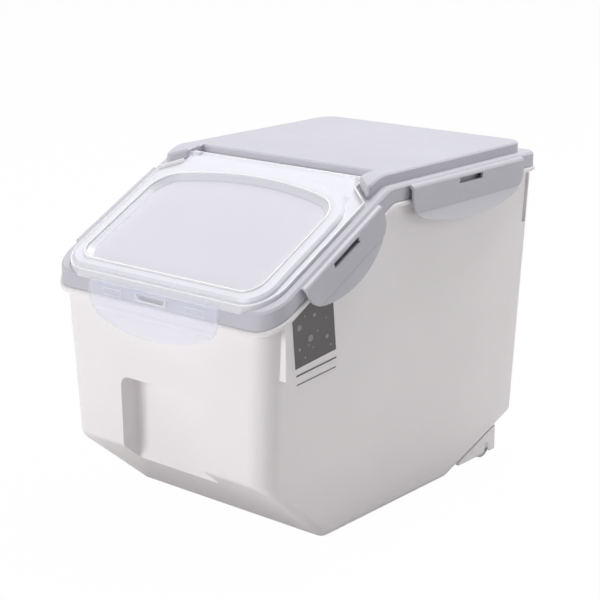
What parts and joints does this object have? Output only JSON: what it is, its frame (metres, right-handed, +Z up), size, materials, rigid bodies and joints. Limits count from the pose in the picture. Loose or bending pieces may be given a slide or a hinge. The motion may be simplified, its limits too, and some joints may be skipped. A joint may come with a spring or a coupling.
{
  "type": "food storage bin",
  "caption": "Dry pet food bin with a lift-off lid, a clear flip lid over a sloping mouth, swing latches, a finger recess and small rear wheels.",
  "frame": {"origin": "on the floor, under the centre of the whole box with all lids and latches closed", "axes": "+X to the right side seen from the front, -Y to the front with the sloping mouth, +Z up"},
  "size_m": [0.2404, 0.3432, 0.2703],
  "materials": {
    "bin": "satin white polypropylene",
    "lid": "satin grey polypropylene",
    "clear_lid": "milky translucent polypropylene",
    "clear_latch": "milky translucent polypropylene",
    "latch": "satin grey polypropylene",
    "seal": "soft white silicone",
    "wheel": "white nylon",
    "axle": "white acetal pin"
  },
  "bodies": {
    "bin": {"bin": "bin", "axle_left": "axle", "axle_right": "axle"},
    "lid": {"lid_frame": "lid", "main_lid_seal": "seal"},
    "flip_lid": {"flip_lid": "clear_lid", "flip_lid_seal": "seal"},
    "front_latch": {"front_latch": "clear_latch"},
    "latch_left_rear": {"latch_left_rear": "latch"},
    "latch_left_front": {"latch_left_front": "latch"},
    "latch_right_rear": {"latch_right_rear": "latch"},
    "latch_right_front": {"latch_right_front": "latch"},
    "wheel_left": {"wheel_left": "wheel"},
    "wheel_right": {"wheel_right": "wheel"}
  },
  "joints": [
    {"name": "lid_lift", "type": "slide", "parent": "bin", "child": "lid", "axis": [0, 0, 1], "range_m": [0, 0.12]},
    {"name": "flip_hinge", "type": "hinge", "parent": "lid", "child": "flip_lid", "pos_m": [0, -0.02977, 0.2641], "axis": [-1, 0, 0], "range_deg": [0, 125]},
    {"name": "front_latch_hinge", "type": "hinge", "parent": "flip_lid", "child": "front_latch", "pos_m": [0, -0.16487, 0.19089], "axis": [-1, 0, 0], "range_deg": [0, 90]},
    {"name": "latch_left_rear_hinge", "type": "hinge", "parent": "lid", "child": "latch_left_rear", "pos_m": [-0.1135, 0.06513, 0.2601], "axis": [0, 1, 0], "range_deg": [0, 120]},
    {"name": "latch_left_front_hinge", "type": "hinge", "parent": "lid", "child": "latch_left_front", "pos_m": [-0.1135, -0.09048, 0.22923], "axis": [0, 0.887, 0.4619], "range_deg": [0, 120]},
    {"name": "wheel_left_spin", "type": "hinge", "parent": "bin", "child": "wheel_left", "pos_m": [-0.08468, 0.12912, 0.0125], "axis": [1, 0, 0], "continuous": true},
    {"name": "latch_right_rear_hinge", "type": "hinge", "parent": "lid", "child": "latch_right_rear", "pos_m": [0.1135, 0.06513, 0.2601], "axis": [0, -1, 0], "range_deg": [0, 120]},
    {"name": "latch_right_front_hinge", "type": "hinge", "parent": "lid", "child": "latch_right_front", "pos_m": [0.1135, -0.09048, 0.22923], "axis": [0, -0.887, -0.4619], "range_deg": [0, 120]},
    {"name": "wheel_right_spin", "type": "hinge", "parent": "bin", "child": "wheel_right", "pos_m": [0.08468, 0.12912, 0.0125], "axis": [1, 0, 0], "continuous": true}
  ]
}
